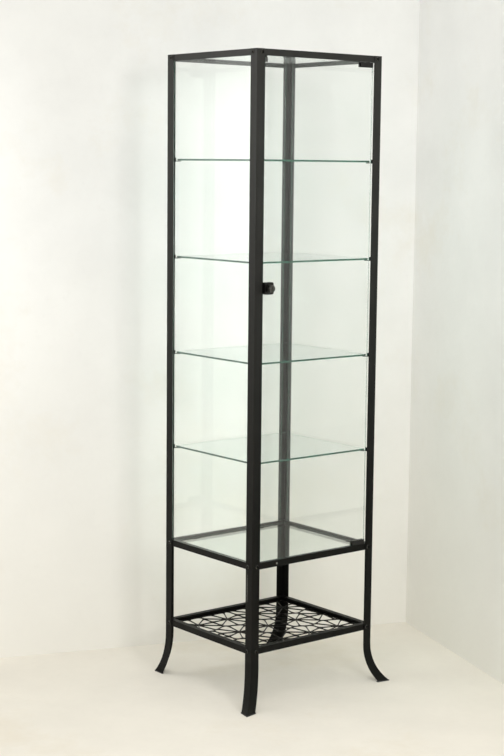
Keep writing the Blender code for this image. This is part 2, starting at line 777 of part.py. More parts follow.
def make_pin(name, end, door):
    """Hinge pin with a collar that fills the space between its clip and the frame."""
    bm = bmesh.new()
    inner, outer = pin_levels(end)
    clip_side = clip_levels(end)[0] + end * GAP
    frame_side = (TOP_RAIL_BOTTOM if end > 0 else MIDDLE_FRAME_TOP) - end * GAP
    profile = [(HINGE_PIN_RADIUS, inner), (HINGE_PIN_RADIUS, clip_side), (HINGE_COLLAR_RADIUS, clip_side),
               (HINGE_COLLAR_RADIUS, frame_side), (HINGE_PIN_RADIUS, frame_side), (HINGE_PIN_RADIUS, outer)]
    add_turned(bm, profile, (HINGE_X, HINGE_Y, 0), (0, 0, 1), PIN_SIDES)
    make_object(name, bm, dark_fastener, door, (HINGE_X, HINGE_Y, clip_side))


def make_hinge_lug(root):
    """Lug behind the top rail that holds the upper pin."""
    bm = bmesh.new()
    front = -LEG_Y + GAP
    half = HINGE_LUG_WIDTH / 2
    outline = rectangle(HINGE_X - half, front, HINGE_X + half, front + HINGE_LUG_DEPTH)
    hole = circle(hole_radius(HINGE_PIN_RADIUS, PIN_SIDES), PIN_SIDES, (HINGE_X, HINGE_Y))
    add_plate(bm, outline, [hole], TOP_RAIL_BOTTOM, TOP_RAIL_BOTTOM + HINGE_LUG_THICKNESS, along_z)
    make_object("hinge_lug", bm, black_steel, root, (HINGE_X, HINGE_Y, TOP_RAIL_BOTTOM))


# Lock

def make_lock_body(door):
    centre = (LOCK_X, LOCK_LEVEL)
    origin = (LOCK_X, DOOR_FRONT, LOCK_LEVEL)
    bm = bmesh.new()
    outline = rounded_rectangle(centre, LOCK_WIDTH, LOCK_HEIGHT, LOCK_CORNER)
    bore = circle(hole_radius(LOCK_CYLINDER_RADIUS, LOCK_SIDES), LOCK_SIDES, centre)
    add_plate(bm, outline, [bore], LOCK_FRONT, DOOR_FRONT - GAP, along_y)
    make_object("lock_housing", bm, black_steel, door, origin)

    bm = bmesh.new()
    shrink = 2 * LOCK_BACKPLATE_MARGIN
    outline = rounded_rectangle(centre, LOCK_WIDTH - shrink, LOCK_HEIGHT - shrink, LOCK_CORNER)
    bore = circle(hole_radius(LOCK_BARREL_RADIUS, LOCK_SIDES), LOCK_SIDES, centre)
    add_plate(bm, outline, [bore], BACKPLATE_FRONT, BACKPLATE_FRONT + LOCK_BACKPLATE, along_y)
    make_object("lock_backplate", bm, black_steel, door, origin)


def make_lock_cylinder(lock):
    """Key cylinder, barrel through the glass and stub for the cam."""
    bm = bmesh.new()
    shoulder = DOOR_FRONT - GAP
    face = LOCK_FRONT - LOCK_CYLINDER_PROUD
    places = [(LOCK_STUB_RADIUS, NUT_BACK), (LOCK_STUB_RADIUS, BARREL_END), (LOCK_BARREL_RADIUS, BARREL_END),
              (LOCK_BARREL_RADIUS, shoulder), (LOCK_CYLINDER_RADIUS, shoulder),
              (LOCK_CYLINDER_RADIUS, face + LOCK_CYLINDER_CHAMFER),
              (LOCK_CYLINDER_RADIUS - LOCK_CYLINDER_CHAMFER, face)]
    profile = [(radius, -y) for radius, y in places]
    add_turned(bm, profile, (LOCK_X, 0, LOCK_LEVEL), (0, -1, 0), LOCK_SIDES)
    cylinder = make_object("lock_cylinder", bm, dark_fastener, lock, lock["origin"])

    bm = bmesh.new()
    half_width = KEY_SLOT_WIDTH / 2
    half_height = KEY_SLOT_HEIGHT / 2
    add_box(bm, (LOCK_X - half_width, face - OVERRUN, LOCK_LEVEL - half_height),
            (LOCK_X + half_width, face + KEY_SLOT_DEPTH, LOCK_LEVEL + half_height))
    cut(cylinder, make_tool("key_slot", bm, lock))


def make_lock_cam(lock):
    """Unlocked, the cam points away from the post; half a turn brings it behind the post's flange."""
    bm = bmesh.new()
    tip = (LOCK_X + LOCK_CAM_REACH, LOCK_LEVEL)
    slope = math.asin((LOCK_CAM_HUB_RADIUS - LOCK_CAM_TIP_RADIUS) / LOCK_CAM_REACH)
    upper = math.pi / 2 - slope
    lower = 3 * math.pi / 2 + slope
    outline = arc((LOCK_X, LOCK_LEVEL), LOCK_CAM_HUB_RADIUS, upper, lower, LOCK_SIDES // 3)
    outline += arc(tip, LOCK_CAM_TIP_RADIUS, lower, upper + math.tau, LOCK_SIDES // 4)
    hole = circle(hole_radius(LOCK_STUB_RADIUS, PIN_SIDES), PIN_SIDES, (LOCK_X, LOCK_LEVEL))
    add_plate(bm, outline, [hole], CAM_FRONT, CAM_FRONT + LOCK_CAM_THICKNESS, along_y)
    make_object("lock_cam", bm, bright_metal, lock, lock["origin"])

    bm = bmesh.new()
    outline = circle(LOCK_NUT_RADIUS, 6, (LOCK_X, LOCK_LEVEL))
    add_plate(bm, outline, [hole], NUT_FRONT, NUT_BACK, along_y)
    make_object("lock_nut", bm, bright_metal, lock, lock["origin"])


# Door stop

def make_door_stop(root):
    x = DOOR_LEFT + STOP_EDGE_INSET
    seat = -LEG_Y + GAP
    plate_front = DOOR_BACK + GAP + STOP_BUMPER_THICKNESS + GAP
    plate_back = plate_front + STOP_WALL
    bottom = TOP_RAIL_BOTTOM - STOP_DROP
    top = TOP_RAIL_BOTTOM + STOP_SEAT_HEIGHT
    step = TOP_RAIL_BOTTOM - GAP
    outline = [(seat, top), (seat, step), (plate_front, step), (plate_front, bottom), (plate_back, bottom),
               (plate_back, top)]
    bm = bmesh.new()
    add_prism(bm, outline, x - STOP_WIDTH / 2, x + STOP_WIDTH / 2, along_x)
    make_object("door_stop", bm, black_steel, root, (x, seat, TOP_RAIL_BOTTOM))

    bm = bmesh.new()
    level = bottom + STOP_BUMPER_RADIUS
    reach = [(STOP_BUMPER_RADIUS, GAP), (STOP_BUMPER_RADIUS, GAP + STOP_BUMPER_THICKNESS)]
    add_turned(bm, reach, (x, DOOR_BACK, level), (0, 1, 0), PIN_SIDES)
    make_object("door_stop_bumper", bm, black_rubber, root, (x, DOOR_BACK, level))


# The whole case

def clear_scene():
    for item in list(bpy.data.objects):
        bpy.data.objects.remove(item)


def body_shift():
    """How far the body moves along Y to bring the middle of the soles' box to the origin."""
    front = min(from_corner(1, -1, u, v)[1] for u, v in sole_outline(-1))
    rear = max(from_corner(1, 1, u, v)[1] for u, v in sole_outline(1))
    return -(front + rear) / 2


def main():
    clear_scene()
    root = make_empty("cabinet", (0, 0, 0))
    root.location.y = body_shift()
    door = make_empty("door_axis", (HINGE_X, HINGE_Y, DOOR_BOTTOM), root)
    lock = make_empty("lock_axis", (LOCK_X, DOOR_FRONT, LOCK_LEVEL), door)

    screw_holes = make_screw_holes(root)
    hinge_holes = make_hinge_holes(root)
    rail_screw_hole = make_rail_screw(root)

    for corner, (side_x, side_y) in CORNERS.items():
        make_post(corner, side_x, side_y, root, screw_holes)
        make_sole(corner, side_x, side_y, root)
    for level in FRAME_LEVELS:
        for side in SIDES:
            holes = [hinge_holes, rail_screw_hole] if (level, side) == ("middle", "front") else []
            make_rail(level, side, root, holes)

    make_fixed_glass(root)
    for number in range(1, SHELF_COUNT + 1):
        make_shelf(number, root)
    make_grille(root)

    make_door_glass(door)
    make_clip("hinge_clip_top", 1, door, hinge_holes)
    make_clip("hinge_clip_bottom", -1, door, hinge_holes)
    make_pin("hinge_pin_top", 1, door)
    make_pin("hinge_pin_bottom", -1, door)
    make_hinge_lug(root)

    make_lock_body(door)
    make_lock_cylinder(lock)
    make_lock_cam(lock)
    make_door_stop(root)


main()
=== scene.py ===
import json
import math

import bmesh
import bpy
from mathutils import Matrix, Vector

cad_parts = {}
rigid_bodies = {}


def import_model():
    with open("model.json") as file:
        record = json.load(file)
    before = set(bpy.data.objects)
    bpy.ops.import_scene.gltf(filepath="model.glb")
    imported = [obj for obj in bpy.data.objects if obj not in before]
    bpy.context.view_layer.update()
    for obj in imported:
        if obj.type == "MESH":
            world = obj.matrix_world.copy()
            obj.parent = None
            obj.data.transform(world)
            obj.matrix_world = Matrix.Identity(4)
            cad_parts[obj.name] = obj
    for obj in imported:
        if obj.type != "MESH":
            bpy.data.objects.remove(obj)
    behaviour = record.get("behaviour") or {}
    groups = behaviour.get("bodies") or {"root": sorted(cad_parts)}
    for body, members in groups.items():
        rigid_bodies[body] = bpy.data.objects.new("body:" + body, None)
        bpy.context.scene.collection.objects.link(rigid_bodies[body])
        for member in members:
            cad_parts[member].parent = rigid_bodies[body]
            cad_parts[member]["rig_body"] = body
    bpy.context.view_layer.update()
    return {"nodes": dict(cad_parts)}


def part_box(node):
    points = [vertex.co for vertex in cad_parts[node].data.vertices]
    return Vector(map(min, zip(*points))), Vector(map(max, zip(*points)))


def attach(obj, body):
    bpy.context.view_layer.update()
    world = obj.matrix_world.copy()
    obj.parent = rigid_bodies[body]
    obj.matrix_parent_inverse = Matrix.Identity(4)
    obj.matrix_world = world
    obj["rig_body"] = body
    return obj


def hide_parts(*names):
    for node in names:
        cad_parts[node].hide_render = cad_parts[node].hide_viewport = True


# Frame
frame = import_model()

# Camera, solved from the frame edges in the photograph; a yaw of 0 looks straight at the front
CAMERA_PLACE = Vector((-2.985, -3.608042, 1.495))
CAMERA_YAW = math.radians(39.002)
CAMERA_PITCH = math.radians(7.359)
CAMERA_ROLL = math.radians(0.577)
CAMERA_LENS = 77.9
SENSOR_WIDTH = 36
CAMERA_NEAR = 0.05
CAMERA_FAR = 100

# Where most of a noise's values lie, and white
NOISE_SPAN = (0.3, 0.7)
WHITE = (1, 1, 1)

# Paints: three tones, the last for worn edges and partly a painted highlight, lowest and highest
# roughness, and gloss
STEEL_PAINT = {
    "base": (0.0016, 0.0016, 0.0011),
    "worn": (0.0042, 0.0042, 0.0034),
    "rubbed_and_highlight": (0.07, 0.07, 0.065),
    "rough": (0.36, 0.5),
    "gloss": 0.13,
}
FITTING_PAINT = {
    "base": (0.002, 0.002, 0.002),
    "worn": (0.005, 0.005, 0.0047),
    "rubbed_and_highlight": (0.13, 0.13, 0.12),
    "rough": (0.07, 0.21),
    "gloss": 0.3,
}

# Marks on the paint: the noise values that they start and end at, and what they cover or add there
WORN_SPAN = (0.3, 0.72)
STREAK_SPAN = (0.45, 0.75)
STREAK_COVER = (0, 0.35)
STREAK_DULL_SPAN = (0.4, 0.7)
STREAK_ROUGHNESS = (0, 0.1)
CHIP_SPAN = (0.35, 0.62)
CHIP_COVER = (0.2, 1)

# Painted light on the frame: a paler film, from none at the lower height to all at the upper, standing in
# for light that falls from above
PAINTED_LIGHT_TONE = (0.028, 0.0282, 0.026)
PAINTED_LIGHT_LOW = 0.45
PAINTED_LIGHT_HIGH = 1.6
PAINTED_LIGHT_COVER = (0.75, 1)

# Screw heads on the rails: what stands out from the posts' faces by more than the margin
FACE_MARGIN = 0.0002
SCREW_HEIGHT = 0.0026
# The heads' tones are painted light: painted shade low on the head and in the middle, a painted highlight
# on the crown
SCREW_PAINTED_SHADE = (0.008, 0.008, 0.007)
SCREW_PAINTED_HIGHLIGHT = (0.08, 0.08, 0.074)
SCREW_LIGHT_AND_SHADE = (SCREW_PAINTED_SHADE, SCREW_PAINTED_HIGHLIGHT, SCREW_PAINTED_HIGHLIGHT, SCREW_PAINTED_SHADE)
SCREW_TONE_SHARES = (0.3, 0.5, 0.85, 0.97)
SCREW_ROUGHNESS_SHARE = 0.35

# Rubber and bare metals
RUBBER_DARK = (0.008, 0.008, 0.008)
RUBBER_PALE = (0.03, 0.03, 0.03)
RUBBER_SPAN = (0.3, 0.75)
RUBBER_ROUGHNESS = (0.7, 0.9)
METAL_ROUGHNESS = (0.18, 0.35)
BRIGHT_DARK = (0.22, 0.215, 0.2)
BRIGHT_PALE = (0.34, 0.33, 0.31)
CYLINDER_DARK = (0.05, 0.05, 0.046)
CYLINDER_PALE = (0.11, 0.108, 0.1)

# Glass: the tint works through the thickness, and the ground edges are milky. Where a normal's
# part along the pane's flat axis is below the facing span it is an edge, and above it a face
GLASS_INDEX = 1.45
GLASS_TINT = (0.3, 0.76, 0.6)
PLATE_DENSITY = 10.0
PANEL_DENSITY = 5.0
SMEARED_GLASS = (0.975, 0.985, 0.98)
SMEAR_SPAN = (0.35, 0.75)
SMEAR_DULL_SPAN = (0.55, 0.8)
SMEAR_ROUGHNESS = (0, 0.03)
SHADOW_TINT = (0.966, 0.973, 0.968)
EDGE_ROUGHNESS = 0.12
EDGE_GREEN = (0.02, 0.17, 0.105)
EDGE_CLEARNESS = 0.55
FACING_SPAN = (0.3, 0.6)

# Rounded copies of the steel pieces and the fittings
SHARP_ANGLE = math.radians(40)
COPLANAR_ANGLE = math.radians(1)
SHORTEST_ROUNDED_EDGE = 0.012
ROUND_STEPS = 3
STEEL_EDGE = 0.0009
CLIP_EDGE = 0.0019
LOCK_EDGE = 0.0012

# Rounded copy of the grille
WELD_DISTANCE = 1e-6
CORNER_CUT_SHARE = 0.25
CORNER_ROUNDS = 2
HOLE_GROWTH_SHARE = 1.035

# Room: the floor, and two walls that cross at the corner; marks on them as on the paint
FLOOR_SPAN = 24
WALL_HEIGHT = 6
WALL_REACH = 7
ROOM_CORNER = Vector((0.7456, 0.1742, 0))
WALL_TURN = math.radians(-19.83)
FLOOR_COLOUR = (0.79, 0.75, 0.67)
WALL_COLOUR = (0.85, 0.85, 0.825)
BLOTCH_TONE_SHARE = 0.93
BLOTCH_SPAN = (0.35, 0.75)
STAIN_TONE_SHARES = (0.9, 0.86, 0.78)
STAIN_SPAN = (0.54, 0.72)
STAIN_COVER = (0, 0.6)
SPECK_SPAN = (0.58, 0.8)
SPECK_COVER = (0, 0.5)
PLASTER_ROUGHNESS = (0.75, 0.9)
# A wall is made warmer and darker towards the floor: the share at the floor and the height where it stops
LOWER_DARKENING_SHARE = 0.55
LOWER_DARKENING_HEIGHT = 1.3
SKY_COLOUR = (1, 0.998, 0.985)
SKY_STRENGTH = 0.94

# Lamps: name, place, aim, side in metres, power in watts, beam in degrees
LAMPS = (
    ("key_lamp", (-1.15, 0.6, 2.3), (-0.2, -0.6, 1.3), 0.9, 5, 100),
    ("wall_lamp", (-1.75, 0.2, 2.3), (-1.35, 0.95, 1.6), 0.6, 9.5, 75),
    ("fill_lamp", (-0.9, -3.0, 1.9), (0.4, 0.25, 0.9), 0.8, 9, 90),
    ("floor_lamp", (-2.1, -2.0, 3.0), (-0.6, 0.1, 0), 1.8, 6.4, 100),
)


# Node helpers
def new_material(name):
    mat = bpy.data.materials.new(name)
    mat.use_nodes = True
    mat.node_tree.nodes.clear()
    return mat


def node(owner, kind, **values):
    """A new node of a material or of the world."""
    made = owner.node_tree.nodes.new(kind)
    for key, value in values.items():
        setattr(made, key, value)
    return made


def link(owner, source, target):
    owner.node_tree.links.new(source, target)


def output(mat, surface):
    """The material's output, which shows the surface."""
    out = node(mat, "ShaderNodeOutputMaterial")
    link(mat, surface, out.inputs["Surface"])
    return out


def noise(mat, scale, detail=3, roughness=0.5, stretch=(1, 1, 1), offset=(0, 0, 0)):
    """A noise over the object's own coordinates, in metres."""
    place = node(mat, "ShaderNodeTexCoord")
    mapping = node(mat, "ShaderNodeMapping")
    mapping.inputs["Scale"].default_value = stretch
    mapping.inputs["Location"].default_value = offset
    made = node(mat, "ShaderNodeTexNoise")
    made.inputs["Scale"].default_value = scale
    made.inputs["Detail"].default_value = detail
    made.inputs["Roughness"].default_value = roughness
    link(mat, place.outputs["Object"], mapping.inputs["Vector"])
    link(mat, mapping.outputs["Vector"], made.inputs["Vector"])
    return made.outputs["Fac"]


def ramp(mat, source, positions, colours):
    """A colour ramp with a colour at each position."""
    made = node(mat, "ShaderNodeValToRGB")
    ends = made.color_ramp.elements
    while len(ends) < len(positions):
        ends.new(1.0)
    for end, position, colour in zip(ends, positions, colours):
        end.position = position
        end.color = (*colour, 1)
    link(mat, source, made.inputs["Fac"])
    return made.outputs["Color"]


def map_range(mat, source, span, result):
    """The source's values between the ends of a span, moved to between the ends of the result."""
    made = node(mat, "ShaderNodeMapRange")
    for key, value in zip(("From Min", "From Max", "To Min", "To Max"), (*span, *result)):
        made.inputs[key].default_value = value
    link(mat, source, made.inputs["Value"])
    return made.outputs["Result"]


def mix_colour(mat, share, first, second):
    """The first colour with a share of the second, which is a plain colour or a node's."""
    made = node(mat, "ShaderNodeMix", data_type="RGBA")
    sockets = {socket.identifier: socket for socket in made.inputs}
    link(mat, share, sockets["Factor_Float"])
    link(mat, first, sockets["A_Color"])
    if isinstance(second, tuple):
        sockets["B_Color"].default_value = (*second, 1)
    else:
        link(mat, second, sockets["B_Color"])
    return next(socket for socket in made.outputs if socket.identifier == "Result_Color")


def clear_where(mat, where, surface, tint):
    """The surface, but plain clear with a tint where the other value is 1."""
    clear = node(mat, "ShaderNodeBsdfTransparent")
    clear.inputs["Color"].default_value = (*tint, 1)
    choose = node(mat, "ShaderNodeMixShader")
    link(mat, where, choose.inputs[0])
    link(mat, surface, choose.inputs[1])
    link(mat, clear.outputs["BSDF"], choose.inputs[2])
    return choose.outputs["Shader"]


def bump(mat, source, strength, distance, normal=None):
    """Relief from the source, on top of another relief where there is one."""
    made = node(mat, "ShaderNodeBump")
    made.inputs["Strength"].default_value = strength
    made.inputs["Distance"].default_value = distance
    link(mat, source, made.inputs["Height"])
    if normal is not None:
        link(mat, normal, made.inputs["Normal"])
    return made.outputs["Normal"]


def arithmetic(mat, operation, first, second=None):
    """A sum of one or two values; the second is a plain number or a node's."""
    made = node(mat, "ShaderNodeMath", operation=operation)
    link(mat, first, made.inputs[0])
    if isinstance(second, (int, float)):
        made.inputs[1].default_value = second
    elif second is not None:
        link(mat, second, made.inputs[1])
    return made.outputs[0]


def coordinates(mat, kind="Object"):
    """The x, y and z of the object's own coordinates in metres, or of its normals."""
    place = node(mat, "ShaderNodeTexCoord")
    parts = node(mat, "ShaderNodeSeparateXYZ")
    link(mat, place.outputs[kind], parts.inputs["Vector"])
    return {axis: parts.outputs[axis] for axis in "XYZ"}


# Materials
def post_faces():
    """The body's middle from front to back, and how far the posts' faces are from its middle. A rear
    leg flares straight back, so its post's rear face is found from its front edge and flange."""
    plate_low, plate_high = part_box("top_glass")
    post_low, post_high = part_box("post_rear_left")
    flange = post_high[0] - post_low[0]
    middle_y = (plate_low[1] + plate_high[1]) / 2
    return middle_y, -post_low[0], post_low[1] + flange - middle_y


def painted_top_light(mat, broad):
    """How much painted light from above lies on the paint: more towards the top, and a little uneven."""
    higher = map_range(mat, coordinates(mat)["Z"], (PAINTED_LIGHT_LOW, PAINTED_LIGHT_HIGH), (0, 1))
    uneven = map_range(mat, broad, NOISE_SPAN, PAINTED_LIGHT_COVER)
    return arithmetic(mat, "MULTIPLY", higher, uneven)


def screw_heads(mat):
    """Where the rails' screw heads are, and their tone: painted shade at the rim and in the middle, and a
    painted highlight on the crown.
    """
    place = coordinates(mat)
    middle_y, face_x, face_y = post_faces()
    across = arithmetic(mat, "ABSOLUTE", place["X"])
    along = arithmetic(mat, "ABSOLUTE", arithmetic(mat, "SUBTRACT", place["Y"], middle_y))
    out_x = arithmetic(mat, "SUBTRACT", across, face_x + FACE_MARGIN)
    out_y = arithmetic(mat, "SUBTRACT", along, face_y + FACE_MARGIN)
    height = arithmetic(mat, "MAXIMUM", out_x, out_y)
    head = arithmetic(mat, "GREATER_THAN", height, 0)
    height_share = map_range(mat, height, (0, SCREW_HEIGHT), (0, 1))
    return head, ramp(mat, height_share, SCREW_TONE_SHARES, SCREW_LIGHT_AND_SHADE)


def black_paint(name, base, worn, rubbed_and_highlight, rough, gloss, with_painted_top_light=True, with_screws=False):
    """Black paint on steel: fine grain, faint rub marks, edges worn paler and partly a painted highlight,
    and on the frame a paler film of painted light from above. Screw heads on it are bare dark metal,
    with painted shade and a painted highlight. Paint without the painted light has a coarser grain as
    well."""
    mat = new_material(name)
    shader = node(mat, "ShaderNodeBsdfPrincipled")
    broad = noise(mat, scale=9, detail=4, roughness=0.6)
    streaks = noise(mat, scale=60, detail=3, roughness=0.55, stretch=(1, 1, 0.06))
    grain = noise(mat, scale=900, detail=2, roughness=0.6)
    chips = noise(mat, scale=130, detail=4, roughness=0.7)

    tone = ramp(mat, broad, WORN_SPAN, (base, worn))
    tone = mix_colour(mat, map_range(mat, streaks, STREAK_SPAN, STREAK_COVER), tone, worn)
    # Painted light: the paint made paler towards the top, standing in for light falling from above
    if with_painted_top_light:
        tone = mix_colour(mat, painted_top_light(mat, broad), tone, PAINTED_LIGHT_TONE)
    # Worn edges, paler, and partly a painted highlight along the rounded edges
    rim = node(mat, "ShaderNodeAttribute", attribute_name="rim").outputs["Fac"]
    edge_wear_and_highlight = arithmetic(mat, "MULTIPLY", rim, map_range(mat, chips, CHIP_SPAN, CHIP_COVER))
    tone = mix_colour(mat, edge_wear_and_highlight, tone, rubbed_and_highlight)
    dull = map_range(mat, broad, NOISE_SPAN, rough)
    streaks_dull = map_range(mat, streaks, STREAK_DULL_SPAN, STREAK_ROUGHNESS)
    dull = arithmetic(mat, "ADD", dull, streaks_dull)
    if with_screws:
        # The heads' dark metal gets painted shade at the rim and in the middle and a painted highlight on
        # the crown
        head, metal = screw_heads(mat)
        tone = mix_colour(mat, head, tone, metal)
        smoother = map_range(mat, head, (0, 1), (1, SCREW_ROUGHNESS_SHARE))
        dull = arithmetic(mat, "MULTIPLY", dull, smoother)
        link(mat, head, shader.inputs["Metallic"])

    rise = bump(mat, grain, strength=0.25, distance=0.0002)
    rise = bump(mat, streaks, strength=0.12, distance=0.0004, normal=rise)
    if not with_painted_top_light:
        coarse = noise(mat, scale=320, detail=2)
        rise = bump(mat, coarse, strength=0.2, distance=0.0005, normal=rise)
    link(mat, tone, shader.inputs["Base Color"])
    link(mat, dull, shader.inputs["Roughness"])
    link(mat, rise, shader.inputs["Normal"])
    shader.inputs["Specular IOR Level"].default_value = gloss
    output(mat, shader.outputs["BSDF"])
    return mat


def rubber(name):
    """Matt black rubber with a fine grain."""
    mat = new_material(name)
    shader = node(mat, "ShaderNodeBsdfPrincipled")
    broad = noise(mat, scale=40, detail=4)
    grain = noise(mat, scale=1400, detail=2)
    tone = ramp(mat, broad, RUBBER_SPAN, (RUBBER_DARK, RUBBER_PALE))
    link(mat, tone, shader.inputs["Base Color"])
    link(mat, map_range(mat, broad, NOISE_SPAN, RUBBER_ROUGHNESS), shader.inputs["Roughness"])
    link(mat, bump(mat, grain, strength=0.35, distance=0.0002), shader.inputs["Normal"])
    output(mat, shader.outputs["BSDF"])
    return mat


def bare_metal(name, dark, pale):
    """Bare metal, uneven in tone and roughness."""
    mat = new_material(name)
    shader = node(mat, "ShaderNodeBsdfPrincipled")
    shader.inputs["Metallic"].default_value = 1
    broad = noise(mat, scale=250, detail=3)
    grain = noise(mat, scale=2500, detail=2)
    link(mat, ramp(mat, broad, NOISE_SPAN, (dark, pale)), shader.inputs["Base Color"])
    link(mat, map_range(mat, broad, NOISE_SPAN, METAL_ROUGHNESS), shader.inputs["Roughness"])
    link(mat, bump(mat, grain, strength=0.15, distance=0.0001), shader.inputs["Normal"])
    output(mat, shader.outputs["BSDF"])
    return mat


def clear_glass(name, flat_axis, density):
    """Float glass, green through its thickness, with faint smears and ground edges; lamps shine
    through it. The flat axis is the one that its large faces look along."""
    mat = new_material(name)
    shader = node(mat, "ShaderNodeBsdfPrincipled")
    shader.inputs["IOR"].default_value = GLASS_INDEX
    smear = noise(mat, scale=7, detail=5, roughness=0.65)
    fine = noise(mat, scale=260, detail=3)
    facing = arithmetic(mat, "ABSOLUTE", coordinates(mat, "Normal")[flat_axis])

    tone = ramp(mat, smear, SMEAR_SPAN, (WHITE, SMEARED_GLASS))
    tone = mix_colour(mat, map_range(mat, facing, FACING_SPAN, (1, 0)), tone, EDGE_GREEN)
    clearness = map_range(mat, facing, FACING_SPAN, (EDGE_CLEARNESS, 1))
    ground = map_range(mat, facing, FACING_SPAN, (EDGE_ROUGHNESS, 0))
    smeared = map_range(mat, smear, SMEAR_DULL_SPAN, SMEAR_ROUGHNESS)
    dull = arithmetic(mat, "MAXIMUM", smeared, ground)
    link(mat, tone, shader.inputs["Base Color"])
    link(mat, clearness, shader.inputs["Transmission Weight"])
    link(mat, dull, shader.inputs["Roughness"])
    link(mat, bump(mat, fine, strength=0.006, distance=0.0001), shader.inputs["Normal"])

    path = node(mat, "ShaderNodeLightPath")
    surface = clear_where(mat, path.outputs["Is Shadow Ray"], shader.outputs["BSDF"], SHADOW_TINT)
    volume = node(mat, "ShaderNodeVolumeAbsorption")
    volume.inputs["Color"].default_value = (*GLASS_TINT, 1)
    volume.inputs["Density"].default_value = density
    link(mat, volume.outputs["Volume"], output(mat, surface).inputs["Volume"])
    return mat


STEEL = black_paint("satin_black_paint", **STEEL_PAINT)
RAILS = black_paint("satin_black_rails", **STEEL_PAINT, with_screws=True)
DARK = black_paint("dark_fittings", **FITTING_PAINT, with_painted_top_light=False)
RUBBER = rubber("black_rubber")
BRIGHT = bare_metal("bright_screw", BRIGHT_DARK, BRIGHT_PALE)
CYLINDER = bare_metal("dark_cylinder", CYLINDER_DARK, CYLINDER_PALE)
GLASS_FLAT = clear_glass("clear_glass_flat", "Z", PLATE_DENSITY)
GLASS_SIDE = clear_glass("clear_glass_side", "X", PANEL_DENSITY)
GLASS_FRONT = clear_glass("clear_glass_front", "Y", PANEL_DENSITY)


def material_of(name):
    """The material of a node, by its name."""
    if name.startswith("sole_") or name == "door_stop_bumper":
        return RUBBER
    if name in ("left_glass", "right_glass"):
        return GLASS_SIDE
    if name in ("rear_glass", "door_glass"):
        return GLASS_FRONT
    if name in ("top_glass", "floor_glass") or (name.startswith("shelf_") and "support" not in name):
        return GLASS_FLAT
    if name in ("front_rail_screw", "lock_cam", "lock_nut"):
        return BRIGHT
    if name == "lock_cylinder":
        return CYLINDER
    if name.startswith(("lock_", "hinge_", "door_stop")) or "support" in name:
        return DARK
    return RAILS if "_rail_" in name else STEEL


for name, piece in frame["nodes"].items():
    piece.data.materials.clear()
    piece.data.materials.append(material_of(name))


# Rounded pieces
def in_scene(name, data):
    """A new object in the scene."""
    made = bpy.data.objects.new(name, data)
    bpy.context.scene.collection.objects.link(made)
    return made


def stand_in(name, mesh):
    """Puts a mesh in the place of a node, on the same body and in the same material."""
    solid = frame["nodes"][name]
    mesh.materials.clear()
    mesh.materials.append(solid.data.materials[0])
    piece = in_scene(name + "_rounded", mesh)
    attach(piece, solid["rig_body"])
    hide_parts(name)
    return piece


def edge_radius(name):
    """How far a node's long edges are rounded, or nothing where they stay as they are."""
    if name.startswith("post_") or ("_rail_" in name and "screw" not in name):
        return STEEL_EDGE
    if name.startswith("hinge_clip"):
        return CLIP_EDGE
    if name in ("lock_housing", "lock_backplate"):
        return LOCK_EDGE
    return None


def edges_to_round(bm):
    """The edges that are sharp, long and between two faces."""
    return [edge for edge in bm.edges
            if len(edge.link_faces) == 2
            and edge.calc_face_angle() > SHARP_ANGLE
            and edge.calc_length() > SHORTEST_ROUNDED_EDGE]


def rounded(name, radius):
    """The node's solid again, with its long edges rounded and marked as worn edges that also carry a
    painted highlight.
    """
    bm = bmesh.new()
    bm.from_mesh(frame["nodes"][name].data)
    bmesh.ops.dissolve_limit(bm, angle_limit=COPLANAR_ANGLE, verts=bm.verts, edges=bm.edges)
    rim = bm.faces.layers.float.new("rim")
    bmesh.ops.bevel(bm, geom=edges_to_round(bm), offset=radius, offset_type="OFFSET", segments=ROUND_STEPS,
                    profile=0.5, affect="EDGES", clamp_overlap=False, material=1)
    for face in bm.faces:
        face[rim] = face.material_index
        face.material_index = 0
        face.smooth = True
    mesh = bpy.data.meshes.new(name + "_rounded")
    bm.to_mesh(mesh)
    bm.free()
    mesh.set_sharp_from_angle(angle=SHARP_ANGLE)
    piece = stand_in(name, mesh)
    piece.modifiers.new("flat_faces", "WEIGHTED_NORMAL").keep_sharp = True


def cut_corners(points):
    """A closed outline with each corner cut, rounder with every round."""
    made = []
    for i, point in enumerate(points):
        after = points[(i + 1) % len(points)]
        made += [point.lerp(after, CORNER_CUT_SHARE), point.lerp(after, 1 - CORNER_CUT_SHARE)]
    return made


def rounded_hole(points):
    """A hole's outline with round corners, about as wide across as before."""
    for _ in range(CORNER_ROUNDS):
        points = cut_corners(points)
    middle = sum(points, Vector((0, 0))) / len(points)
    return [middle.lerp(point, HOLE_GROWTH_SHARE) for point in points]


def top_outlines(solid):
    """The closed outlines of a flat plate's upper face, and the plate's lower and upper height."""
    bm = bmesh.new()
    bm.from_mesh(solid.data)
    bmesh.ops.remove_doubles(bm, verts=bm.verts, dist=WELD_DISTANCE)
    low, high = min(v.co.z for v in bm.verts), max(v.co.z for v in bm.verts)
    follow = {}
    for edge in bm.edges:
        ends = edge.verts
        if all(v.co.z > high - WELD_DISTANCE for v in ends) and edge.calc_face_angle() > SHARP_ANGLE:
            for here, there in (ends, reversed(ends)):
                follow.setdefault(here, []).append(there)
    outlines, seen = [], set()
    for start in follow:
        outline, here = [], start
        while here is not None and here not in seen:
            seen.add(here)
            outline.append(here.co.xy.copy())
            here = next((there for there in follow[here] if there not in seen), None)
        if len(outline) > 2:
            outlines.append(outline)
    bm.free()
    return outlines, low, high


